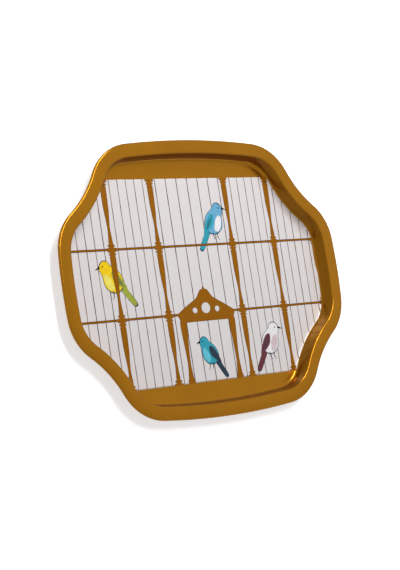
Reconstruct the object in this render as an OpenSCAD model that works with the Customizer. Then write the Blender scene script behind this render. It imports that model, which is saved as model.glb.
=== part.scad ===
// Shaped serving tray of pressed tinplate. The pan has a drafted wall, a flat rim and an outer edge
// curled over a steel wire, and its floor carries thin printed coats of ink.
// The tray lies flat on Z = 0 and is centred on the origin, with its long side along X.

/* [Tray] */
// Length over the curled edge
tray_l = 400; // [320:10:480]
// Width over the curled edge, as a share of the length
width_ratio = 0.8; // [0.797:0.001:0.802]
// Height from the underside of the floor to the top of the rim
tray_h = 18.4; // [14:0.2:30]

/* [Pressing] */
// Thickness of the tinplate
sheet_t = 0.4; // [0.3:0.05:0.6]
// Width of the rim, from the outermost edge to the top of the wall
rim_w = 16; // [12:0.5:20]
// Lean of the wall from upright, in degrees
draft = 8; // [4:1:14]
// Radius of the fillet at the foot of the wall, on the serving side
foot_r = 4.6; // [3:0.2:6]
// Radius of the shoulder between wall and rim, on the serving side
shoulder_r = 1.8; // [1.4:0.1:3]
// How far the outer edge is curled round, in degrees
curl_turn = 290; // [250:5:300]

/* [Edge wire] */
// Diameter of the steel wire in the curled edge
wire_d = 3.2; // [2:0.1:4]
// Gap between the wire and the inside of the curl
wire_gap = 0.1; // [0.05:0.05:0.3]

/* [Outline of a 400 mm tray] */
// Radius of the shallow bows on the long sides
long_bow_r = 944; // [935:1:955]
// Half the angle of a long side's bow
long_bow_a = 5.6; // [5.5:0.05:5.7]
// Heading at the end of the corner next to a long side, down from the long side
corner_a = 63.1; // [62:0.1:64]
// Heading at the end of the hollow between the two corners
hollow_a = 38.2; // [37.5:0.1:39]
// Radius of the corners next to the short sides
short_corner_r = 58; // [56:0.5:60]
// Radius of the shallow bows on the short sides
short_bow_r = 580; // [570:1:590]
// Half the angle of a short side's bow
short_bow_a = 3.6; // [3.4:0.1:3.8]

/* [Print on a 400 mm tray] */
// Thickness of a coat of ink
ink_t = 0.05; // [0.02:0.01:0.1]
// Distance from the centre line to the ends of the white ground
ground_y = 118.2; // [110:0.2:120]
// Distance from the centre line to each cross rail of the cage
rail_y = 39.4; // [38:0.2:42]
// Width of a cross rail
rail_w = 2.2; // [1:0.2:4]
// Place of the first turned column from the centre line
column_x = 54; // [52:0.5:55]
// Spacing of the turned columns
column_pitch = 64.5; // [63:0.5:65]
// Width of a thin bar
bar_w = 0.6; // [0.4:0.1:1.2]
// Spacing of the bars behind the door
door_bar_pitch = 15.4; // [14:0.1:16]
// Place of the door's posts from the centre line
door_post_x = 35.5; // [34:0.5:37]
// Distance from the centre line down to the door's lintel
lintel_y = 44; // [42:0.5:46]

/* [Hidden] */

$fn = 240;

// A quarter of the outline runs clockwise from the middle of a long side, through a bow, a corner,
// a hollow, a second corner and half a bow. h1 to h4 are its headings where two of them meet.
k = tray_l / 400;
half_l = tray_l / 2;
half_w = half_l * width_ratio;
r1 = long_bow_r * k;
r4 = short_corner_r * k;
r5 = short_bow_r * k;
h1 = long_bow_a;
h2 = corner_a;
h3 = hollow_a;
h4 = 90 - short_bow_a;

// The first corner and the hollow take up what the others leave of half the length and width
left_x = half_l - r1 * sin(h1) - r4 * (sin(h4) - sin(h3)) - r5 * (1 - sin(h4));
left_y = half_w - r1 * (1 - cos(h1)) - r4 * (cos(h3) - cos(h4)) - r5 * cos(h4);
corner_dx = sin(h2) - sin(h1);
corner_dy = cos(h1) - cos(h2);
hollow_dx = sin(h2) - sin(h3);
hollow_dy = cos(h3) - cos(h2);
det = corner_dx * hollow_dy - hollow_dx * corner_dy;
r2 = (left_x * hollow_dy - left_y * hollow_dx) / det;
r3 = (left_y * corner_dx - left_x * corner_dy) / det;

function normal(h) = [sin(h), cos(h)];

// Centres of the stretches' arcs
c1 = [0, half_w - r1];
c2 = c1 + (r1 - r2) * normal(h1);
c3 = c2 + (r2 + r3) * normal(h2);
c5 = [half_l - r5, 0];
c4 = c5 + (r5 - r4) * normal(h4);

// Heights and offsets of the pressing. Offsets are negative inwards from the outline.
curl_r = wire_d / 2 + wire_gap + sheet_t;
shoulder_c = [-rim_w - shoulder_r * (1 - cos(draft)) + shoulder_r, tray_h - shoulder_r];
wall_top = shoulder_c - shoulder_r * [cos(draft), -sin(draft)];
foot_top_z = sheet_t + foot_r * (1 - sin(draft));
wall_l = (wall_top[1] - foot_top_z) / cos(draft);
wall_foot = wall_top - wall_l * [sin(draft), cos(draft)];
foot_c = wall_foot - foot_r * [cos(draft), -sin(draft)];
// Flat stretch that each swept piece has inside the foot, so that the floor plate overlaps it
lap = 12;

// One sector of a ring, from angle a0 to a1
module ring_sector(r_in, r_out, a0, a1) {
    far = 2 * r_out;
    mid = (a0 + a1) / 2;
    difference() {
        intersection() {
            circle(r = r_out);
            polygon([[0, 0], far * [cos(a0), sin(a0)], far * [cos(mid), sin(mid)], far * [cos(a1), sin(a1)]]);
        }
        circle(r = r_in);
    }
}

// Section of the pressed sheet, outwards along +X and upwards along +Y
module sheet_section() {
    third = curl_turn / 3;
    translate([foot_c[0] - lap, 0])
        square([lap, sheet_t]);
    translate(foot_c)
        ring_sector(foot_r, foot_r + sheet_t, -90, -draft);
    translate(wall_foot)
        rotate(-draft)
            square([sheet_t, wall_l]);
    translate(shoulder_c)
        ring_sector(shoulder_r - sheet_t, shoulder_r, 90, 180 - draft);
    translate([shoulder_c[0], tray_h - sheet_t])
        square([-curl_r - shoulder_c[0], sheet_t]);
    for (i = [0:2])
        translate([-curl_r, tray_h - curl_r])
            ring_sector(curl_r - sheet_t, curl_r, 90 - (i + 1) * third, 90 - i * third);
}

// Section of the wire in the curl
module wire_section() {
    translate([-curl_r, tray_h - curl_r])
        circle(d = wire_d);
}

// Moves by v in three steps, each fine enough to keep every digit of v
module place(v) {
    whole = [for (n = v) round(n)];
    thousandths = [for (n = v - whole) round(n * 1000) / 1000];
    translate(whole)
        translate(thousandths)
            translate(v - whole - thousandths)
                children();
}

// A stretch that bulges outwards, between headings a and b
module bulge(centre, r, a, b) {
    place(centre)
        rotate_extrude(start = 90 - b, angle = b - a)
            place([r, 0])
                children();
}

// A stretch that is hollow, between headings a and b
module hollow(centre, r, a, b) {
    place(centre)
        rotate_extrude(start = 270 - a, angle = a - b)
            place([r, 0])
                mirror([1, 0])
                    children();
}

// The corner of the outline between two bows
module corner_sweep() {
    bulge(c2, r2, h1, h2)
        children();
    hollow(c3, r3, h2, h3)
        children();
    bulge(c4, r4, h3, h4)
        children();
}

// Carries a section all the way round the outline
module sweep() {
    for (sx = [0, 1], sy = [0, 1])
        mirror([sx, 0, 0])
            mirror([0, sy, 0])
                corner_sweep()
                    children();
    for (sy = [0, 1])
        mirror([0, sy, 0])
            bulge(c1, r1, -h1, h1)
                children();
    for (sx = [0, 1])
        mirror([sx, 0, 0])
            bulge(c5, r5, h4, 180 - h4)
                children();
}

// Points of a quarter of the outline, moved inwards by d
function quarter_points(d) = [
    for (h = [0, h1 / 2]) c1 + (r1 - d) * normal(h),
    for (i = [0:5]) c2 + (r2 - d) * normal(h1 + (h2 - h1) * i / 5),
    for (i = [1:2]) c3 - (r3 + d) * normal(h2 + (h3 - h2) * i / 3),
    for (i = [0:5]) c4 + (r4 - d) * normal(h3 + (h4 - h3) * i / 5),
    c5 + [r5 - d, 0]
];

// The outline moved inwards by d, with short straight sides
module inner_outline(d) {
    q = quarter_points(d);
    n = len(q) - 1;
    polygon([
        for (i = [0:n]) q[i],
        for (i = [1:n]) [q[n - i][0], -q[n - i][1]],
        for (i = [1:n]) -q[i],
        for (i = [1:n - 1]) [-q[n - i][0], q[n - i][1]]
    ]);
}

// The flat slab inside the swept laps
module plate(t) {
    linear_extrude(height = t)
        inner_outline(lap / 2 - foot_c[0]);
}

module tray_pan() {
    color("goldenrod") {
        sweep()
            sheet_section();
        plate(sheet_t);
    }
}

module edge_wire() {
    color("silver")
        sweep()
            wire_section();
}

module white_ground() {
    color("gainsboro")
        translate([0, 0, sheet_t])
            intersection() {
                union() {
                    sweep()
                        translate([foot_c[0] - lap, 0])
                            square([lap, ink_t]);
                    plate(ink_t);
                }
                translate([-half_l, -ground_y * k, -1])
                    cube([tray_l, 2 * ground_y * k, 2]);
            }
}

// A coat of ink on the white ground, which ends just inside the foot of the wall
module coat() {
    translate([0, 0, sheet_t + ink_t])
        linear_extrude(height = ink_t)
            intersection() {
                scale(k)
                    children();
                inner_outline(1 - foot_c[0]);
            }
}

// One storey of a turned column, as distance down from its upper rail and half width
STOREY = [
    [0, 6], [3.5, 6], [4.5, 3], [7, 5.5], [9, 5.5], [10.5, 4.4], [43, 2], [62, 3.6], [64, 3], [66, 5],
    [68, 3], [72, 3], [75, 6], [78.8, 6]
];

// A turned column of whole storeys whose upper end is at y
module column(x, y, storeys = 1) {
    last = len(STOREY) - 1;
    for (i = [0:storeys - 1])
        translate([x, y - i * 2 * rail_y])
            polygon([
                for (j = [0:last]) [STOREY[j][1], -STOREY[j][0]],
                for (j = [0:last]) [-STOREY[last - j][1], -STOREY[last - j][0]]
            ]);
}

// The pointed head of the door, pierced by three round holes
module gable() {
    half = 41;
    difference() {
        polygon([
            [-6, -13], [6, -13], [8, -17], [12, -24], [22, -31], [half, -rail_y], [half, -lintel_y],
            [-half, -lintel_y], [-half, -rail_y], [-22, -31], [-12, -24], [-8, -17]
        ]);
        translate([0, -34])
            circle(d = 13);
        for (side = [-1, 1])
            translate([side * 17, -36])
                circle(d = 6);
    }
}

// Rails, turned columns, gable and door posts of the printed cage
module frame_shape() {
    floor_l = 350;
    post_w = 4.8;
    for (y = [-rail_y, rail_y])
        translate([-floor_l / 2, y - rail_w / 2])
            square([floor_l, rail_w]);
    for (side = [-1, 1], i = [0, 1])
        column(side * (column_x + i * column_pitch), 3 * rail_y, 3);
    gable();
    for (side = [-1, 1])
        translate([side * door_post_x - post_w / 2, -ground_y])
            square([post_w, ground_y - rail_y]);
}

// A perched songbird of plain circles, facing left, with its tail hanging to the right
module songbird(x, y, turn, size) {
    translate([x, y])
        rotate(turn)
            scale(size / 50) {
                circle(r = 11);
                translate([-8, 13])
                    circle(r = 7);
                polygon([[-13, 16], [-19, 12], [-14, 11]]);
                polygon([[-4, -9], [7, -8], [20, -36], [15, -38]]);
            }
}

module bird_shapes() {
    songbird(-126, 14, 0, 66);
    songbird(38, 68, 0, 58);
    songbird(-6, -86, -35, 52);
    songbird(104, -72, 20, 54);
}

// A row of thin upright bars
module bars(first, pitch, count) {
    for (i = [0:count - 1])
        translate([first + i * pitch - bar_w / 2, -ground_y])
            square([bar_w, 2 * ground_y]);
}

module bar_shapes() {
    side_pitch = column_pitch / 6;
    bars(-3 * door_bar_pitch, door_bar_pitch, 7);
    for (side = [0, 1])
        mirror([side, 0]) {
            bars(column_x + side_pitch, side_pitch, 5);
            bars(column_x + column_pitch + side_pitch, side_pitch, 3);
        }
}

module bar_print() {
    color("rosybrown")
        coat()
            difference() {
                bar_shapes();
                frame_shape();
                bird_shapes();
            }
}

module frame_print() {
    color("darkgoldenrod")
        coat()
            frame_shape();
}

module bird_print() {
    color("lightseagreen")
        coat()
            difference() {
                bird_shapes();
                frame_shape();
            }
}

tray_pan();
edge_wire();
white_ground();
bar_print();
frame_print();
bird_print();
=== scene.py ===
import math

import bpy
import numpy as np
from bpy.props import FloatProperty, FloatVectorProperty, PointerProperty
from mathutils import Matrix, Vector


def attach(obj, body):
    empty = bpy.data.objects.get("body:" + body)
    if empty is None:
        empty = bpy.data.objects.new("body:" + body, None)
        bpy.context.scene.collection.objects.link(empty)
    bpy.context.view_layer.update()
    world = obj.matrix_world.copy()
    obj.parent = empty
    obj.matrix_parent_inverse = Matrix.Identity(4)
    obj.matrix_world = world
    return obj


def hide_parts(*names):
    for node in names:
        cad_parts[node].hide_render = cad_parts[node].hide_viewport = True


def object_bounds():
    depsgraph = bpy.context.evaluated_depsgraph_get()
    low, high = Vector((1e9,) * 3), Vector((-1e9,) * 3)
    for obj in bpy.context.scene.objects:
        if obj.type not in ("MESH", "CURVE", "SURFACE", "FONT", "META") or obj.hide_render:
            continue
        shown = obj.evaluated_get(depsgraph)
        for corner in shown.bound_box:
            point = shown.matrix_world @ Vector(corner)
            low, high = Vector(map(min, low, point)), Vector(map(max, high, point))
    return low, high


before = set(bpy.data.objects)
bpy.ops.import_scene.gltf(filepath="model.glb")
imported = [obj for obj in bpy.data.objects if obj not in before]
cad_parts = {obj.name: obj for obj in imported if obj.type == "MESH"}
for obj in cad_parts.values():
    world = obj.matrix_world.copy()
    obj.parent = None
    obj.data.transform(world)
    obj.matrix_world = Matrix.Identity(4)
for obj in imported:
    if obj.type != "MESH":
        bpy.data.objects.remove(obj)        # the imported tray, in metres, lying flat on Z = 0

bl_info = {
    "name": "Shaped Tin Tray",
    "version": (1, 0, 0),
    "blender": (4, 5, 0),
    "location": "3D View > Sidebar > Tin Tray",
    "description": "Builds a pressed tin serving tray and the coats of ink on its floor",
    "category": "Add Mesh",
}

MM = 0.001
CAD_BOX = [list(map(float, corner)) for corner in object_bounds()]
BODY = "root"
ROOT = 0.01 * MM          # height of a coat's underside, just inside what it lies on
GROUND_TOP = 0.05 * MM    # height of the white ground
BAR_TOP = 0.08            # height of the thin bars, mm
FLOOR_SIDE = 6.0          # half the studio floor's side, m
FLOOR_GLOW = 0.66         # share of white that the floor shows by itself
SENSOR = 36.0             # width of the camera's sensor, mm


# ---------------------------------------------------------------- sizes and colours

class TrayShape(bpy.types.PropertyGroup):
    """Sizes of the pressing."""
    half_length: FloatProperty(
        name="Half length", description="From the middle to the end of the tray",
        default=round(CAD_BOX[1][0], 3), unit="LENGTH")
    half_width: FloatProperty(
        name="Half width", description="From the middle to the long side",
        default=round(CAD_BOX[1][1], 3), unit="LENGTH")
    height: FloatProperty(
        name="Height", description="From the underside to the top of the rim",
        default=round(CAD_BOX[1][2], 4), unit="LENGTH")
    sheet: FloatProperty(
        name="Sheet", description="Thickness of the tinplate", default=0.4 * MM, unit="LENGTH")
    rim: FloatProperty(
        name="Rim", description="Width of the rim", default=16 * MM, unit="LENGTH")
    draft: FloatProperty(
        name="Draft", description="Lean of the wall from upright",
        default=math.radians(8), subtype="ANGLE")
    foot: FloatProperty(
        name="Foot fillet", description="Radius at the foot of the wall",
        default=4.6 * MM, unit="LENGTH")
    shoulder: FloatProperty(
        name="Shoulder", description="Radius between wall and rim", default=1.8 * MM, unit="LENGTH")
    curl: FloatProperty(
        name="Curl", description="Outer radius of the curled edge", default=2.1 * MM, unit="LENGTH")
    curl_turn: FloatProperty(
        name="Curl turn", description="How far the edge is curled round",
        default=math.radians(290), subtype="ANGLE")
    wire: FloatProperty(
        name="Wire", description="Radius of the wire in the curl", default=1.6 * MM, unit="LENGTH")
    long_bow: FloatProperty(
        name="Long bow", description="Radius of the long sides' bows", default=0.944, unit="LENGTH")
    long_bow_end: FloatProperty(
        name="Long bow's end", description="Heading where a long bow ends",
        default=math.radians(5.6), subtype="ANGLE")
    corner_end: FloatProperty(
        name="Corner's end", description="Heading where the first corner ends",
        default=math.radians(63.1), subtype="ANGLE")
    hollow_end: FloatProperty(
        name="Hollow's end", description="Heading where the hollow ends",
        default=math.radians(38.2), subtype="ANGLE")
    short_corner: FloatProperty(
        name="Short corner", description="Radius of the corners by the short sides",
        default=58 * MM, unit="LENGTH")
    short_bow: FloatProperty(
        name="Short bow", description="Radius of the short sides' bows",
        default=0.58, unit="LENGTH")
    short_bow_start: FloatProperty(
        name="Short bow's start", description="Heading where a short bow starts",
        default=math.radians(86.4), subtype="ANGLE")


class TrayPrint(bpy.types.PropertyGroup):
    """Sizes of the print, in millimetres from the middle of the floor."""
    ground_y: FloatProperty(
        name="Ground", description="Half height of the white ground, mm", default=118.2)
    ground_inset: FloatProperty(
        name="Ground's inset", description="Distance of the white ground from the outline, mm",
        default=19.3)
    rail_y: FloatProperty(
        name="Rails", description="Distance of the cross rails from the middle, mm", default=39.4)
    column_x: FloatProperty(
        name="Columns", description="Place of the first turned column, mm", default=54.0)
    column_pitch: FloatProperty(
        name="Column spacing", description="Spacing of the turned columns, mm", default=64.5)
    door_bar_pitch: FloatProperty(
        name="Door bars", description="Spacing of the bars behind the door, mm", default=15.4)
    bar_width: FloatProperty(
        name="Bar width", description="Width of a thin bar, mm", default=1.0)
    post_x: FloatProperty(
        name="Door posts", description="Place of the door's posts, mm", default=35.5)
    lintel_y: FloatProperty(
        name="Lintel", description="Height of the door's lintel, mm", default=-48.5)


class TrayColours(bpy.types.PropertyGroup):
    """Colours of the finishes, linear."""
    gold: FloatVectorProperty(
        name="Gold lacquer", description="Colour of the lacquered metal",
        default=(0.27, 0.110, 0.002), subtype="COLOR")
    white: FloatVectorProperty(
        name="White ground", description="Colour of the enamel ground",
        default=(0.665, 0.63, 0.632), subtype="COLOR")
    column: FloatVectorProperty(
        name="Column gold", description="Colour of the cage's frame",
        default=(0.27, 0.098, 0.002), subtype="COLOR")
    outline: FloatVectorProperty(
        name="Outline brown", description="Colour of the frame's dark edge",
        default=(0.09, 0.028, 0.008), subtype="COLOR")
    dark_bar: FloatVectorProperty(
        name="Dark bar", description="Colour of the darker bars",
        default=(0.075, 0.042, 0.024), subtype="COLOR")
    pale_bar: FloatVectorProperty(
        name="Pale bar", description="Colour of the paler bars",
        default=(0.19, 0.135, 0.10), subtype="COLOR")


class TrayStudio(bpy.types.PropertyGroup):
    """Camera and lamps."""
    aim: FloatVectorProperty(
        name="Aim", description="Point that the camera looks at", default=(-0.003, -0.007, 0.0),
        subtype="TRANSLATION")
    distance: FloatProperty(
        name="Distance", description="Camera to aim", default=1.652, unit="LENGTH")
    azimuth: FloatProperty(
        name="Azimuth", description="Turn of the camera round the tray",
        default=math.radians(-81.16), subtype="ANGLE")
    elevation: FloatProperty(
        name="Elevation", description="Height of the camera above the floor",
        default=math.radians(51.31), subtype="ANGLE")
    roll: FloatProperty(
        name="Roll", description="Turn of the camera about its own line of sight",
        default=math.radians(74.4), subtype="ANGLE")
    lens: FloatProperty(name="Lens", description="Focal length, mm", default=90.8)
    key: FloatProperty(name="Key", description="Power of the key lamp, W", default=22.5)
    top: FloatProperty(name="Top", description="Power of the top lamp, W", default=1.2)
    front: FloatProperty(name="Front", description="Power of the low front card, W", default=1.2)
    sky: FloatProperty(name="Sky", description="Strength of the room's light", default=0.14)


# ---------------------------------------------------------------- the outline

def heading(h):
    """Outward normal at heading h, which is 0 at the middle of a long side and grows clockwise."""
    return np.stack([np.sin(h), np.cos(h)], axis=-1)


def outline_arcs(s):
    """The arcs of a quarter of the outline, as (centre, radius, first heading, last heading).

    A bow, a corner, a hollow, a corner and half a bow meet at equal headings. The radii of the
    first corner and of the hollow, which is negative, solve two equations: the arcs' lengths
    along X and Y have to add up to half the tray's length and width.
    """
    h1, h2, h3, h4 = s.long_bow_end, s.corner_end, s.hollow_end, s.short_bow_start
    sin, cos = math.sin, math.cos
    left = np.array([
        s.half_length - s.long_bow * sin(h1) - s.short_corner * (sin(h4) - sin(h3))
        - s.short_bow * (1 - sin(h4)),
        s.half_width - s.long_bow * (1 - cos(h1)) - s.short_corner * (cos(h3) - cos(h4))
        - s.short_bow * cos(h4)])
    steps = np.array([[sin(h2) - sin(h1), sin(h2) - sin(h3)],
                      [cos(h1) - cos(h2), cos(h3) - cos(h2)]])
    corner, hollow = np.linalg.solve(steps, left)
    c1 = np.array([0.0, s.half_width - s.long_bow])
    c2 = c1 + (s.long_bow - corner) * heading(h1)
    c3 = c2 + (corner + hollow) * heading(h2)
    c5 = np.array([s.half_length - s.short_bow, 0.0])
    c4 = c5 + (s.short_bow - s.short_corner) * heading(h4)
    return [(c1, s.long_bow, 0.0, h1), (c2, corner, h1, h2), (c3, -hollow, h2, h3),
            (c4, s.short_corner, h3, h4), (c5, s.short_bow, h4, math.pi / 2)]


def outline(s):
    """Points and outward normals all round the outline, clockwise from the middle of a long side.

    Each arc is centre + radius * normal(heading), and the quarter is mirrored into the others.
    """
    spans = (12, 26, 14, 22, 8)
    points, normals = [], []
    for (centre, radius, a, b), n in zip(outline_arcs(s), spans):
        h = np.linspace(a, b, n, endpoint=False)
        points.append(centre + radius * heading(h))
        normals.append(heading(h))
    points.append(np.array([[s.half_length, 0.0]]))
    normals.append(np.array([[1.0, 0.0]]))
    p, n = np.concatenate(points), np.concatenate(normals)
    loops = []
    for q in (p, n):
        down, left = np.array([1, -1]), np.array([-1, 1])
        loops.append(np.concatenate([q[:-1], q[:0:-1] * down, -q[:-1], q[:0:-1] * left]))
    return loops


def inset_of(s, x, y):
    """Distance inwards from the outline at plan points (x, y), and the outward normal there.

    Each arc answers for the points whose heading from its centre lies between its ends, with
    radius minus distance. Points that no arc answers for are deep inside.
    """
    p = np.stack([np.abs(x), np.abs(y)], axis=-1)
    best = np.full(p.shape[:-1], 1.0)
    normal = np.zeros(p.shape)
    for centre, radius, a, b in outline_arcs(s):
        v = (p - centre) * np.sign(radius)
        length = np.linalg.norm(v, axis=-1)
        h = np.arctan2(v[..., 0], v[..., 1])
        inset = (abs(radius) - length) * np.sign(radius)
        slack = 1e-6
        hit = (h >= min(a, b) - slack) & (h <= max(a, b) + slack) & (inset < best)
        best = np.where(hit, inset, best)
        normal = np.where(hit[..., None], v / np.maximum(length, 1e-9)[..., None], normal)
    normal[..., 0] *= np.where(x < 0, -1, 1)
    normal[..., 1] *= np.where(y < 0, -1, 1)
    return best, normal


def pressing(s):
    """Centres of the section's bends, as (outwards from the outline, up)."""
    shoulder = np.array([-s.rim + s.shoulder * math.cos(s.draft), s.height - s.shoulder])
    top = shoulder - s.shoulder * np.array([math.cos(s.draft), -math.sin(s.draft)])
    foot_z = s.sheet + s.foot * (1 - math.sin(s.draft))
    run = (top[1] - foot_z) * math.tan(s.draft)
    foot = np.array([top[0] - run - s.foot * math.cos(s.draft), s.sheet + s.foot])
    curl = np.array([-s.curl, s.height - s.curl])
    return shoulder, foot, curl


def bend(centre, radius, a, b, n):
    """Arc of the section: centre + radius * (cos, sin) of n angles from a to b."""
    t = np.linspace(a, b, n)
    return centre + radius * np.stack([np.cos(t), np.sin(t)], axis=-1)


def on_tray(s, x, y, lift):
    """Places plan points on the serving side: the floor, the foot's fillet or the wall, moved off
    the metal by lift along its normal."""
    _, foot, _ = pressing(s)
    inset, outward = inset_of(s, x, y)
    up_wall = np.maximum(-foot[0] - inset, 0.0)
    angle = np.arcsin(np.clip(up_wall / s.foot, 0.0, math.cos(s.draft)))
    beyond = np.maximum(up_wall - s.foot * math.cos(s.draft), 0.0)
    z = s.sheet + s.foot * (1 - np.cos(angle)) + beyond / math.tan(s.draft)
    off = np.stack([-outward[..., 0] * np.sin(angle), -outward[..., 1] * np.sin(angle),
                    np.cos(angle)], axis=-1)
    return np.stack([x, y, z], axis=-1) + lift * off


def reach(s, fixed, inset, along_x):
    """How far out a line at a fixed y, or x, runs before it is within inset of the outline.

    Halves the interval 40 times, for all lines at once.
    """
    fixed = np.asarray(fixed, float)
    near = np.zeros(fixed.shape)
    far = np.full(fixed.shape, s.half_length if along_x else s.half_width)
    for _ in range(40):
        middle = (near + far) / 2
        x, y = (middle, fixed) if along_x else (fixed, middle)
        inside = inset_of(s, x, y)[0] > inset
        near, far = np.where(inside, middle, near), np.where(inside, far, middle)
    return near


# ---------------------------------------------------------------- meshes

def facing_out(points, faces):
    """Turns a closed shell's faces round if its signed volume is negative."""
    volume = 0.0
    for f in faces:
        a, b, c = points[f[:, 0]], points[f[:, 1]], points[f[:, 2]]
        volume += np.einsum("ij,ij->", a, np.cross(b, c))
        if f.shape[1] == 4:
            d = points[f[:, 3]]
            volume += np.einsum("ij,ij->", a, np.cross(c, d))
    return faces if volume > 0 else [f[:, ::-1] for f in faces]


def add_piece(name, points, faces, node, materials, index=None, smooth=True):
    mesh = bpy.data.meshes.new(name)
    mesh.from_pydata(points.tolist(), [], [q for f in faces for q in f.tolist()])
    if index is not None:
        mesh.polygons.foreach_set("material_index", index)
    mesh.polygons.foreach_set("use_smooth", np.full(len(mesh.polygons), smooth))
    for material in materials:
        mesh.materials.append(material)
    mesh.validate()
    mesh.update()
    piece = bpy.data.objects.new(name, mesh)
    bpy.context.scene.collection.objects.link(piece)
    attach(piece, BODY)
    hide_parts(node)
    return piece


def rolled(rows, columns, first=0):
    """Quads between closed rings: row i and i + 1 of the grid, with the last column joined to the
    first."""
    i, j = np.meshgrid(np.arange(rows - 1), np.arange(columns), indexing="ij")
    k = (j + 1) % columns
    a = i * columns
    b = a + columns
    return np.stack([a + j, a + k, b + k, b + j], axis=-1).reshape(-1, 4) + first


def slab(x, y, top, s):
    """A closed coat of ink over a grid of plan points: the grid at the coat's height, the same
    grid just inside the white ground or the metal, and a band round the border."""
    upper = on_tray(s, x, y, top)
    lower = on_tray(s, x, y, ROOT)
    rows, columns = x.shape
    n = rows * columns
    grid = np.arange(n).reshape(rows, columns)
    quads = np.stack([grid[:-1, :-1], grid[:-1, 1:], grid[1:, 1:], grid[1:, :-1]], -1)
    quads = quads.reshape(-1, 4)
    border = np.concatenate([grid[0, :-1], grid[:-1, -1], grid[-1, :0:-1], grid[:0:-1, 0]])
    after = np.roll(border, -1)
    band = np.stack([border, border + n, after + n, after], -1)
    points = np.concatenate([upper.reshape(-1, 3), lower.reshape(-1, 3)])
    return points, facing_out(points, [np.concatenate([quads, quads[:, ::-1] + n, band])])


def disc(x, y, top, s):
    """A closed round coat: rings of plan points, shape (rings, around), from the edge inwards to a
    pole, with the underside just inside the ground."""
    rings, around = x.shape
    centre = np.array([[x.mean(), y.mean()]])
    upper, lower = on_tray(s, x, y, top).reshape(-1, 3), on_tray(s, x, y, ROOT).reshape(-1, 3)
    poles = [on_tray(s, centre[:, 0], centre[:, 1], h) for h in (top, ROOT)]
    points = np.concatenate([upper, lower, *poles])
    n = rings * around
    up = rolled(rings, around)
    down = rolled(rings, around, n)[:, ::-1]
    j = np.arange(around)
    k = (j + 1) % around
    band = np.stack([j, j + n, k + n, k], -1)
    last = (rings - 1) * around
    cap = np.stack([last + j, last + k, np.full(around, 2 * n)], -1)
    base = np.stack([last + n + k, last + n + j, np.full(around, 2 * n + 1)], -1)
    faces = [np.concatenate([up, down, band]), np.concatenate([cap, base])]
    return points, facing_out(points, faces)


def smooth_line(points, n, closed=False):
    """A smooth curve through given points: each piece is the cubic whose slopes at its ends are
    half the difference of the neighbouring points."""
    p = np.asarray(points, float)
    if closed:
        before, here, after, later = (np.roll(p, k, 0) for k in (1, 0, -1, -2))
    else:
        ends = np.vstack([2 * p[0] - p[1], p, 2 * p[-1] - p[-2]])
        before, here, after, later = ends[:-3], ends[1:-2], ends[2:-1], ends[3:]
    t = np.linspace(0, 1, n, endpoint=False)[None, :, None]
    a, b, c, d = (q[:, None, :] for q in (before, here, after, later))
    curve = 0.5 * (2 * b + (c - a) * t + (2 * a - 5 * b + 4 * c - d) * t ** 2
                   + (3 * b - a - 3 * c + d) * t ** 3)
    curve = curve.reshape(-1, p.shape[1])
    return curve if closed else np.vstack([curve, p[-1]])


class Inks:
    """Collects coats of ink, in millimetres, and joins them into one piece with a material each."""

    def __init__(self, s):
        self.s = s
        self.coats = []

    def ribbon(self, colour, left, right, top):
        """The area between two lines of points."""
        p = np.stack([left, right], axis=1)
        self.coats.append((colour, slab(p[..., 0] * MM, p[..., 1] * MM, top * MM, self.s)))

    def stroke(self, colour, points, widths, top):
        """A brush stroke along a smooth line, whose width also changes smoothly."""
        line = smooth_line(points, 6)
        where = np.linspace(0, 1, len(line))
        width = 1.25 * np.interp(where, np.linspace(0, 1, len(widths)), widths)[:, None]
        along = np.gradient(line, axis=0)
        along /= np.maximum(np.linalg.norm(along, axis=1, keepdims=True), 1e-9)
        side = np.stack([-along[:, 1], along[:, 0]], -1) * width / 2
        self.ribbon(colour, line + side, line - side, top)

    def blob(self, colour, points, top):
        """The inside of a smooth closed line, as rings that shrink to its middle."""
        edge = smooth_line(points, 6, closed=True)
        middle = edge.mean(0)
        shrink = np.array([1.0, 0.66, 0.33])[:, None, None]
        p = (middle + (edge - middle) * shrink) * MM
        self.coats.append((colour, disc(p[..., 0], p[..., 1], top * MM, self.s)))

    def spot(self, colour, x, y, radius, top):
        """A round spot."""
        t = np.linspace(0, 2 * math.pi, 32, endpoint=False)
        shrink = np.array([1.0, 0.5])[:, None, None]
        p = np.stack([np.cos(t), np.sin(t)], -1)[None] * shrink * radius
        p = (p + (x, y)) * MM
        self.coats.append((colour, disc(p[..., 0], p[..., 1], top * MM, self.s)))

    def piece(self, name, node, slot, materials):
        """Joins the coats; each face takes its coat's material."""
        names = sorted({colour for colour, _ in self.coats})
        points, faces, index, base = [], [], [], 0
        for colour, (p, parts) in self.coats:
            points.append(p)
            for f in parts:
                faces.append(f + base)
                index.append(np.full(len(f), names.index(colour)))
            base += len(p)
        return add_piece(name, np.concatenate(points), faces, node,
                         [materials[n] for n in names], np.concatenate(index), smooth=False)


# ---------------------------------------------------------------- materials

def new_material(name):
    """A material with its Principled shader, and a function that adds linked nodes to it."""
    material = bpy.data.materials.new(name)
    material.use_nodes = True
    tree = material.node_tree
    shader = tree.nodes["Principled BSDF"]

    def add(kind, settings=None, **links):
        node = tree.nodes.new(kind)
        for key, value in (settings or {}).items():
            setattr(node, key, value)
        for key, value in links.items():
            socket = node.inputs[key.replace("_", " ")]
            if isinstance(value, bpy.types.NodeSocket):
                tree.links.new(value, socket)
            else:
                socket.default_value = value
        return node

    return material, shader, add


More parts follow.
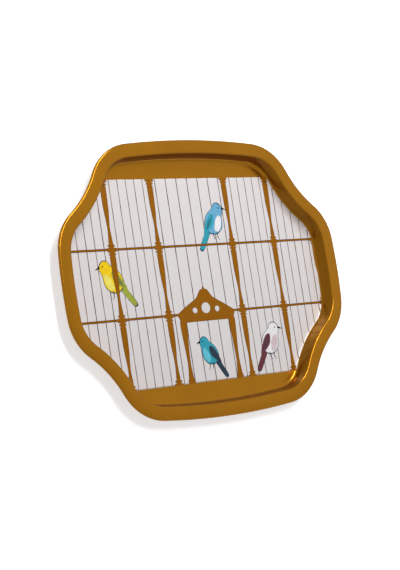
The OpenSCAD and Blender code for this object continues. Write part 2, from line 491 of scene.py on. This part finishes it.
def speckle(add, scale, detail, lo, hi):
    """Noise on Object coordinates, stretched from its usual spread to lo..hi."""
    where = add("ShaderNodeTexCoord")
    noise = add("ShaderNodeTexNoise", Vector=where.outputs["Object"], Scale=scale, Detail=detail,
                Roughness=0.6)
    spread = add("ShaderNodeMapRange", Value=noise.outputs["Fac"])
    for socket, value in zip(("From Min", "From Max", "To Min", "To Max"), (0.3, 0.7, lo, hi)):
        spread.inputs[socket].default_value = value
    return spread.outputs["Result"]


def tinted(add, colour, amount):
    """The colour multiplied by a grey value."""
    mix = add("ShaderNodeVectorMath", {"operation": "SCALE"}, Scale=amount)
    mix.inputs[0].default_value = tuple(colour)[:3]
    return mix.outputs["Vector"]


def grain(add, scale, height):
    """Fine bumps of the lacquer, like orange peel."""
    bump = add("ShaderNodeBump", Height=speckle(add, scale, 3.0, 0.0, 1.0), Strength=1.0,
               Distance=height)
    return bump.outputs["Normal"]


def gold_lacquer(colours):
    """Gold lacquer over tinplate: a metallic sheen, with a fine grain in its colour and gloss."""
    material, shader, add = new_material("gold_lacquer")
    link = material.node_tree.links.new
    fine = speckle(add, 1100.0, 4.0, 0.90, 1.10)
    broad = speckle(add, 16.0, 2.0, 0.96, 1.05)
    both = add("ShaderNodeMath", {"operation": "MULTIPLY"})
    link(fine, both.inputs[0])
    link(broad, both.inputs[1])
    link(tinted(add, colours.gold, both.outputs[0]), shader.inputs["Base Color"])
    link(speckle(add, 700.0, 3.0, 0.15, 0.25), shader.inputs["Roughness"])
    link(grain(add, 900.0, 0.02 * MM), shader.inputs["Normal"])
    shader.inputs["Metallic"].default_value = 0.78
    shader.inputs["Specular IOR Level"].default_value = 0.3
    return material


def drawn_steel():
    """Bright drawn wire with fine marks."""
    material, shader, add = new_material("drawn_steel")
    link = material.node_tree.links.new
    link(tinted(add, (0.42, 0.42, 0.43), speckle(add, 600.0, 3.0, 0.85, 1.1)),
         shader.inputs["Base Color"])
    link(speckle(add, 900.0, 2.0, 0.25, 0.45), shader.inputs["Roughness"])
    shader.inputs["Metallic"].default_value = 1.0
    return material


def white_enamel(colours):
    """Glossy white ground, faintly mottled."""
    material, shader, add = new_material("white_enamel")
    link = material.node_tree.links.new
    link(tinted(add, colours.white, speckle(add, 300.0, 3.0, 0.975, 1.02)),
         shader.inputs["Base Color"])
    link(speckle(add, 500.0, 2.0, 0.16, 0.24), shader.inputs["Roughness"])
    link(grain(add, 900.0, 0.008 * MM), shader.inputs["Normal"])
    shader.inputs["Specular IOR Level"].default_value = 0.5
    return material


def ink(name, colour, wash=0.12):
    """Printed ink under varnish, with a wash that comes and goes over a few millimetres."""
    material, shader, add = new_material("ink_" + name)
    link = material.node_tree.links.new
    link(tinted(add, colour, speckle(add, 260.0, 4.0, 1 - wash, 1 + wash)),
         shader.inputs["Base Color"])
    link(speckle(add, 500.0, 2.0, 0.26, 0.38), shader.inputs["Roughness"])
    link(grain(add, 900.0, 0.008 * MM), shader.inputs["Normal"])
    shader.inputs["Specular IOR Level"].default_value = 0.07
    return material


PLUMAGE = {
    "black": (0.004, 0.004, 0.005), "slate": (0.025, 0.045, 0.07), "yellow": (0.83, 0.56, 0.012),
    "lemon": (0.80, 0.70, 0.13), "olive": (0.33, 0.36, 0.05), "teal": (0.035, 0.32, 0.42),
    "aqua": (0.13, 0.50, 0.62), "sky": (0.14, 0.38, 0.58), "pearl": (0.78, 0.76, 0.78),
    "blush": (0.62, 0.50, 0.53), "plum": (0.13, 0.035, 0.045),
}


# ---------------------------------------------------------------- the cage's drawing

def storey(t):
    """Half width, in mm, of a turned column t of the way down a storey. A thick crossing block and
    beads stand at both ends, and the shaft tapers to a waist two thirds of the way down."""
    shaft = 3.75 - 0.6 * np.sin(np.clip(t - 0.1, 0, 1) * 2.2)
    waist = 2.0 * np.exp(-((t - 0.70) / 0.19) ** 2)
    width = np.where(t < 0.5, shaft - waist, 3.2 - waist * 0.85)
    width = np.where((t < 0.095) | (t > 0.905), 2.4, width)
    for place, height, size in ((0.068, 0.018, 4.8), (0.943, 0.020, 4.5)):
        bead = 1 - ((t - place) / height) ** 2
        swell = 2.4 + (size - 2.4) * np.sqrt(np.maximum(bead, 0))
        width = np.where(bead > 0, np.maximum(width, swell), width)
    return np.where((t < 0.040) | (t > 0.968), 5.6, width)


def door_post(t):
    """Half width, in mm, of a door post t of the way down: a scroll at the top, a waist low down
    and a flared foot."""
    width = 4.4 - 2.5 * np.sin(np.clip(t / 0.68, 0, 1) * math.pi / 2) ** 2
    width = np.where(t > 0.68, 1.9 + 1.6 * ((t - 0.68) / 0.24) ** 1.5, width)
    return np.where(t > 0.93, 4.2, width)


def standing(inks, colour, s, prt, x, y, half, extra, top):
    """A ribbon that stands at x, with its half width given at each y. It is cut off where the
    white ground ends."""
    limit = reach(s, y * MM, prt.ground_inset * MM, along_x=True) / MM - 3 * extra
    left = np.clip(x - half - extra, -limit, limit)
    right = np.clip(x + half + extra, -limit, limit)
    keep = right - left > 0.15
    if keep.sum() > 1:
        first, last = np.flatnonzero(keep)[[0, -1]]
        cut = slice(first, last + 1)
        inks.ribbon(colour, np.stack([left[cut], y[cut]], -1),
                    np.stack([right[cut], y[cut]], -1), top)


def column_lines(prt):
    """Heights and half widths of a whole column of three storeys."""
    t = np.linspace(0, 1, 90)
    edges = [prt.ground_y, prt.rail_y, -prt.rail_y, -prt.ground_y]
    y = np.concatenate([a + (b - a) * t for a, b in zip(edges, edges[1:])])
    return y, np.tile(storey(t), 3)


def gable_top(x):
    """Upper edge of the door's gable, in mm: a knob, a cap, a steep neck and long slopes."""
    ax = np.abs(x)
    return np.interp(ax, [0, 1.2, 1.6, 5.0, 7.5, 10.8, 12.5, 16, 23, 30, 36, 42],
                     [-8.4, -9.2, -11.8, -12.6, -15.8, -20.4, -22.2, -24.2, -28.0, -31.8, -35.4,
                      -39.4])


def draw_frame(inks, s, prt):
    """Rails, turned columns, the door's posts and its gable, each a dark edge with a gold fill."""
    edge, fill, hole = 0.17, 0.20, 0.24
    line = 0.3
    for colour, extra, top in (("outline", line, edge), ("column", 0.0, fill)):
        for y in (-prt.rail_y, prt.rail_y):
            half = 0.7 + 2.2 * extra
            limit = reach(s, y * MM, prt.ground_inset * MM, along_x=True) / MM
            x = np.linspace(-limit, limit, 121)
            inks.ribbon(colour, np.stack([x, x * 0 + y - half], -1),
                        np.stack([x, x * 0 + y + half], -1), top)
        y, half = column_lines(prt)
        for side in (-1, 1):
            for i in range(3):
                x = side * (prt.column_x + i * prt.column_pitch)
                standing(inks, colour, s, prt, x, y, half, extra, top + 0.01)
            t = np.linspace(0, 1, 70)
            y_post = prt.lintel_y + 1 - t * (prt.ground_y + prt.lintel_y + 1)
            standing(inks, colour, s, prt, side * prt.post_x, y_post, door_post(t), extra,
                     top + 0.005)
        x = np.linspace(-42 - extra, 42 + extra, 169)
        rise = np.interp(np.abs(x), [0, 38.5, 39.6, 41.6], [0, 0, 4, 8])
        low, high = prt.lintel_y + rise - extra, gable_top(x) + extra
        inks.ribbon(colour, np.stack([x, low], -1), np.stack([x, high], -1), top + 0.015)
    for x, y, radius in ((0, -33.8, 6.3), (-16.2, -35.8, 3.3), (16.2, -35.8, 3.3)):
        inks.spot("outline", x, y, radius + line, hole)
        inks.spot("pearl", x, y, radius, hole + 0.03)


def draw_bars(inks, s, prt):
    """Thin upright bars: evenly spaced behind the door, and five or so between two columns."""
    bars = [(k * prt.door_bar_pitch, "dark_bar") for k in range(-3, 4)]
    step = prt.column_pitch / 5.6
    for side in (-1, 1):
        for k in range(5):
            bars.append((side * (prt.column_x + 9.8 + k * step), "pale_bar"))
            bars.append((side * (prt.column_x + prt.column_pitch + 10 + k * step * 1.01),
                         ("dark_bar", "pale_bar")[k % 2]))
    for x, colour in bars:
        limit = reach(s, abs(x) * MM, prt.ground_inset * MM, along_x=False) / MM
        limit = min(float(limit), prt.ground_y)
        y = np.linspace(-limit, limit, 61)
        half = prt.bar_width / 2 * (1 + 0.12 * np.sin(y * 0.21 + x))
        inks.ribbon(colour, np.stack([x - half, y], -1), np.stack([x + half, y], -1), BAR_TOP)


# ---------------------------------------------------------------- the birds

def placed(points, x, y, turn=0.0, flip=1):
    """Given points, turned and moved to a bird's place."""
    p = np.asarray(points, float) * (flip, 1)
    c, n = math.cos(turn), math.sin(turn)
    return p @ np.array([[c, n], [-n, c]]) + (x, y)


# Heights of the birds' coats, mm
LOW, MID, HIGH, TIP = 0.10, 0.12, 0.14, 0.16


def grown(points, share):
    """Points moved away from their middle by a share of their distance."""
    p = np.asarray(points, float)
    return p.mean(0) + (p - p.mean(0)) * share


def songbird(inks, x, y, turn, size, flip, body, wing, breast):
    """A plain perched songbird: one closed line for its body and head, a folded wing, a straight
    tail, a short bill, an eye and two legs. It faces left, or right where flip is -1."""
    def at(points):
        return placed(np.asarray(points) * size, x, y, turn, flip)
    tail = [(4, -7), (9, -6), (15, -15), (21, -26), (17, -28), (10, -18)]
    line = [(-9, 18.5), (-3.6, 18), (0.4, 13), (8, 6), (11, -4), (5, -11.4), (-4, -11.6),
            (-10.6, -5), (-11.6, 5), (-13.6, 13)]
    inks.blob("slate", at(grown(tail, 1.12)), LOW)
    inks.blob(wing, at(tail), LOW + 0.01)
    inks.blob("slate", at(grown(line, 1.06)), MID - 0.005)
    inks.blob(body, at(line), MID)
    inks.blob(breast, at([(-10.4, 5), (-6, 5.4), (-2, -1), (-1, -9), (-5.6, -9.8), (-9.6, -4)]),
              HIGH)
    inks.blob(wing, at([(-1, 7), (4, 7), (10, -1), (14, -12), (7, -8.6), (0.4, -2)]), HIGH)
    for k in range(3):
        inks.stroke("slate", at([(0.8 + 2 * k, 4.6 - k), (4 + 2 * k, -1 - k), (8.4 + k, -7 - k)]),
                    [0.3, 0.6, 0.3], TIP)
    inks.stroke("black", at([(-12.8, 13.8), (-15.4, 13), (-18.4, 11.8)]), [2.4, 1.5, 0.4], TIP)
    inks.spot("black", *at([(-9.2, 14)])[0], 0.9, TIP)
    for foot in (-3, 2):
        inks.stroke("black", at([(foot, -11), (foot - 0.6, -16), (foot - 2.6, -19)]),
                    [0.8, 0.7, 0.4], HIGH)


# Piece, place in mm, turn, size, side that it faces, and the colours of body, wing and breast
BIRDS = (
    ("yellow_bird", -122, 6, 0.10, 1.15, 1, "yellow", "olive", "lemon"),
    ("blue_bird", 30, 66, 0.0, 1.15, -1, "sky", "teal", "pearl"),
    ("teal_bird", -3, -86, 0.0, 1.00, 1, "teal", "slate", "aqua"),
    ("pale_bird", 88, -80, 0.0, 1.15, -1, "pearl", "plum", "blush"),
)


# ---------------------------------------------------------------- operators

class TRAY_OT_pan(bpy.types.Operator):
    """Presses the pan: floor, foot, wall, rim and curled edge"""
    bl_idname = "tray.pan"
    bl_label = "Pan"

    def execute(self, context):
        s = context.scene.tray_shape
        shoulder, foot, curl = pressing(s)
        wall, turn, t = s.draft, s.curl_turn, s.sheet
        quarter = math.pi / 2
        section = np.concatenate([
            bend(foot, s.foot, -quarter, -wall, 10),
            bend(shoulder, s.shoulder, math.pi - wall, quarter, 9),
            bend(curl, s.curl, quarter, quarter - turn, 34),
            bend(curl, s.curl - t, quarter - turn, quarter, 26),
            bend(shoulder, s.shoulder - t, quarter, math.pi - wall, 7),
            bend(foot, s.foot + t, -wall, -quarter, 8)])
        base, normal = outline(s)
        around = len(base)
        plan = base[None] + section[:, None, :1] * normal[None]
        up = np.broadcast_to(section[:, None, 1:], plan.shape[:2] + (1,))
        shell = np.concatenate([plan, up], -1)
        shrink = np.array([0.25, 0.5, 0.75])[:, None, None]
        floor = shell[0] * np.concatenate([shrink, shrink, shrink * 0 + 1], -1)
        under = shell[-1] * np.concatenate([shrink, shrink, shrink * 0 + 1], -1)
        rings = np.concatenate([floor, shell, under[::-1]])
        rows = len(rings)
        points = np.concatenate([rings.reshape(-1, 3), [[0, 0, t], [0, 0, 0]]])
        j = np.arange(around)
        k = (j + 1) % around
        last = (rows - 1) * around
        cap = np.stack([k, j, np.full(around, rows * around)], -1)
        base_cap = np.stack([last + j, last + k, np.full(around, rows * around + 1)], -1)
        faces = facing_out(points, [rolled(rows, around), np.concatenate([cap, base_cap])])
        add_piece("tray_shell", points, faces, "tray_pan",
                  [gold_lacquer(context.scene.tray_colours)])
        return {"FINISHED"}


class TRAY_OT_edge_wire(bpy.types.Operator):
    """Runs the steel wire round the inside of the curl"""
    bl_idname = "tray.edge_wire"
    bl_label = "Edge wire"

    def execute(self, context):
        s = context.scene.tray_shape
        _, _, curl = pressing(s)
        section = bend(curl, s.wire, 0, 2 * math.pi, 17)[:-1]
        base, normal = outline(s)
        plan = base[:, None] + section[None, :, :1] * normal[:, None]
        up = np.broadcast_to(section[None, :, 1:], plan.shape[:2] + (1,))
        rings = np.concatenate([plan, up], -1)
        rings = np.concatenate([rings, rings[:1]])
        around = len(section)
        quads = rolled(len(rings), around) % (len(base) * around)
        points = rings[:-1].reshape(-1, 3)
        add_piece("edge_wire_ring", points, facing_out(points, [quads]), "edge_wire",
                  [drawn_steel()])
        return {"FINISHED"}


class TRAY_OT_white_ground(bpy.types.Operator):
    """Lays the white enamel on the floor and a little way up the foot of the wall"""
    bl_idname = "tray.white_ground"
    bl_label = "White ground"

    def execute(self, context):
        s, prt = context.scene.tray_shape, context.scene.tray_print
        y = np.linspace(-prt.ground_y, prt.ground_y, 121) * MM
        edge = reach(s, y, prt.ground_inset * MM, along_x=True)
        steps = np.concatenate([np.linspace(0, 0.93, 14)[:-1], np.linspace(0.93, 1, 22)])
        u = np.concatenate([-steps[:0:-1], steps])
        x = edge[:, None] * u[None]
        points, faces = slab(x, np.broadcast_to(y[:, None], x.shape), GROUND_TOP, s)
        add_piece("ground_coat", points, faces, "white_ground",
                  [white_enamel(context.scene.tray_colours)])
        return {"FINISHED"}


class TRAY_OT_bars(bpy.types.Operator):
    """Prints the cage's thin bars"""
    bl_idname = "tray.bars"
    bl_label = "Bars"

    def execute(self, context):
        scene = context.scene
        inks = Inks(scene.tray_shape)
        draw_bars(inks, scene.tray_shape, scene.tray_print)
        materials = {name: ink(name, getattr(scene.tray_colours, name), 0.25)
                     for name in ("dark_bar", "pale_bar")}
        inks.piece("cage_bars", "bar_print", "bar_ink", materials)
        return {"FINISHED"}


class TRAY_OT_cage_frame(bpy.types.Operator):
    """Prints the cage's rails, columns and door"""
    bl_idname = "tray.cage_frame"
    bl_label = "Cage frame"

    def execute(self, context):
        scene = context.scene
        inks = Inks(scene.tray_shape)
        draw_frame(inks, scene.tray_shape, scene.tray_print)
        materials = {name: ink(name, getattr(scene.tray_colours, name), 0.10)
                     for name in ("column", "outline")}
        materials["pearl"] = ink("hole", scene.tray_colours.white, 0.02)
        inks.piece("cage_frame", "frame_print", "column_ink", materials)
        return {"FINISHED"}


class TRAY_OT_birds(bpy.types.Operator):
    """Prints the four songbirds"""
    bl_idname = "tray.birds"
    bl_label = "Birds"

    def execute(self, context):
        materials = {name: ink(name, colour) for name, colour in PLUMAGE.items()}
        for name, *looks in BIRDS:
            inks = Inks(context.scene.tray_shape)
            songbird(inks, *looks)
            inks.piece(name, "bird_print", "bird_ink", materials)
        return {"FINISHED"}


def lamp(name, place, power, width, height):
    """A soft box at place, turned to the middle of the tray."""
    data = bpy.data.lights.new(name, "AREA")
    data.shape = "RECTANGLE"
    data.energy, data.size, data.size_y = power, width, height
    obj = bpy.data.objects.new(name, data)
    bpy.context.scene.collection.objects.link(obj)
    place = np.array(place, float)
    back = place / np.linalg.norm(place)
    right = np.cross([0, 0, 1], back)
    right /= np.linalg.norm(right)
    set_frame(obj, right, np.cross(back, right), back, place)


def set_frame(obj, right, up, back, place):
    """Gives an object the axes right, up and back, and its place."""
    m = np.eye(4)
    m[:3, 0], m[:3, 1], m[:3, 2], m[:3, 3] = right, up, back, place
    obj.matrix_world = Matrix(m.tolist())


def background_rays(tree):
    """1 for the rays that show the background: the camera's, glossy ones and transmitted ones."""
    path = tree.nodes.new("ShaderNodeLightPath")
    seen = path.outputs["Is Camera Ray"]
    for ray in ("Is Glossy Ray", "Is Transmission Ray"):
        either = tree.nodes.new("ShaderNodeMath")
        either.operation = "MAXIMUM"
        tree.links.new(seen, either.inputs[0])
        tree.links.new(path.outputs[ray], either.inputs[1])
        seen = either.outputs[0]
    return seen


def white_room(strength):
    """A room that is white where it shows, and lights the tray at the given strength."""
    world = bpy.data.worlds.new("room")
    world.use_nodes = True
    tree = world.node_tree
    level = tree.nodes.new("ShaderNodeMapRange")
    level.inputs["To Min"].default_value = strength
    level.inputs["To Max"].default_value = 1.0
    tree.links.new(background_rays(tree), level.inputs["Value"])
    background = tree.nodes["Background"]
    background.inputs["Color"].default_value = (1, 1, 1, 1)
    tree.links.new(level.outputs["Result"], background.inputs["Strength"])
    return world


def pale_floor():
    """White to the camera and in reflections, and a plain pale surface for shadows and light."""
    material, shader, add = new_material("pale_floor")
    link = material.node_tree.links.new
    shader.inputs["Base Color"].default_value = (0.86, 0.85, 0.87, 1)
    shader.inputs["Roughness"].default_value = 0.9
    shader.inputs["Specular IOR Level"].default_value = 0.0
    glow = add("ShaderNodeMath", {"operation": "MULTIPLY"})
    link(background_rays(material.node_tree), glow.inputs[0])
    glow.inputs[1].default_value = FLOOR_GLOW
    shader.inputs["Emission Color"].default_value = (1, 1, 1, 1)
    link(glow.outputs[0], shader.inputs["Emission Strength"])
    return material


class TRAY_OT_stage(bpy.types.Operator):
    """Adds the floor, the lamps and the camera"""
    bl_idname = "tray.stage"
    bl_label = "Stage"

    def execute(self, context):
        scene = context.scene
        studio = scene.tray_studio
        corners = [(FLOOR_SIDE * x, FLOOR_SIDE * y, 0)
                   for x, y in ((-1, -1), (1, -1), (1, 1), (-1, 1))]
        mesh = bpy.data.meshes.new("studio_floor")
        mesh.from_pydata(corners, [], [(0, 1, 2, 3)])
        mesh.materials.append(pale_floor())
        floor = bpy.data.objects.new("studio_floor", mesh)
        scene.collection.objects.link(floor)

        lamp("key_lamp", (0.04, 0.80, 1.15), studio.key, 0.30, 1.2)
        lamp("top_lamp", (1.0, 0.50, 1.25), studio.top, 1.4, 0.9)
        lamp("front_card", (0.9, -1.2, 0.25), studio.front, 1.2, 0.3)

        scene.world = white_room(studio.sky)

        a, e, roll = studio.azimuth, studio.elevation, studio.roll
        back = np.array([math.sin(a) * math.cos(e), -math.cos(a) * math.cos(e), math.sin(e)])
        right = np.array([math.cos(a), math.sin(a), 0.0])
        up = np.cross(back, right)
        turned = [math.cos(roll) * right + math.sin(roll) * up,
                  math.cos(roll) * up - math.sin(roll) * right]
        data = bpy.data.cameras.new("camera")
        data.lens, data.sensor_width = studio.lens, SENSOR
        camera = bpy.data.objects.new("camera", data)
        scene.collection.objects.link(camera)
        set_frame(camera, *turned, back, np.array(studio.aim) + studio.distance * back)
        scene.camera = camera
        scene.view_settings.view_transform = "Standard"
        return {"FINISHED"}


class TRAY_PT_panel(bpy.types.Panel):
    """Lists the tray's pieces and their sizes"""
    bl_idname = "TRAY_PT_panel"
    bl_label = "Tin Tray"
    bl_space_type = "VIEW_3D"
    bl_region_type = "UI"
    bl_category = "Tin Tray"

    def draw(self, context):
        for operator in OPERATORS:
            self.layout.operator(operator.bl_idname)
        for name in GROUPS:
            box = self.layout.box()
            group = getattr(context.scene, name)
            for key in group.bl_rna.properties.keys():
                if key not in ("rna_type", "name"):
                    box.prop(group, key)


OPERATORS = (TRAY_OT_pan, TRAY_OT_edge_wire, TRAY_OT_white_ground, TRAY_OT_bars,
             TRAY_OT_cage_frame, TRAY_OT_birds, TRAY_OT_stage)
GROUPS = {"tray_shape": TrayShape, "tray_print": TrayPrint, "tray_colours": TrayColours,
          "tray_studio": TrayStudio}
CLASSES = (*GROUPS.values(), *OPERATORS, TRAY_PT_panel)


def register():
    for cls in CLASSES:
        bpy.utils.register_class(cls)
    for name, group in GROUPS.items():
        setattr(bpy.types.Scene, name, PointerProperty(type=group))


def unregister():
    for name in GROUPS:
        delattr(bpy.types.Scene, name)
    for cls in reversed(CLASSES):
        bpy.utils.unregister_class(cls)


def main():
    register()
    for operator in OPERATORS:
        group, name = operator.bl_idname.split(".")
        getattr(getattr(bpy.ops, group), name)()


if __name__ == "__main__":
    main()
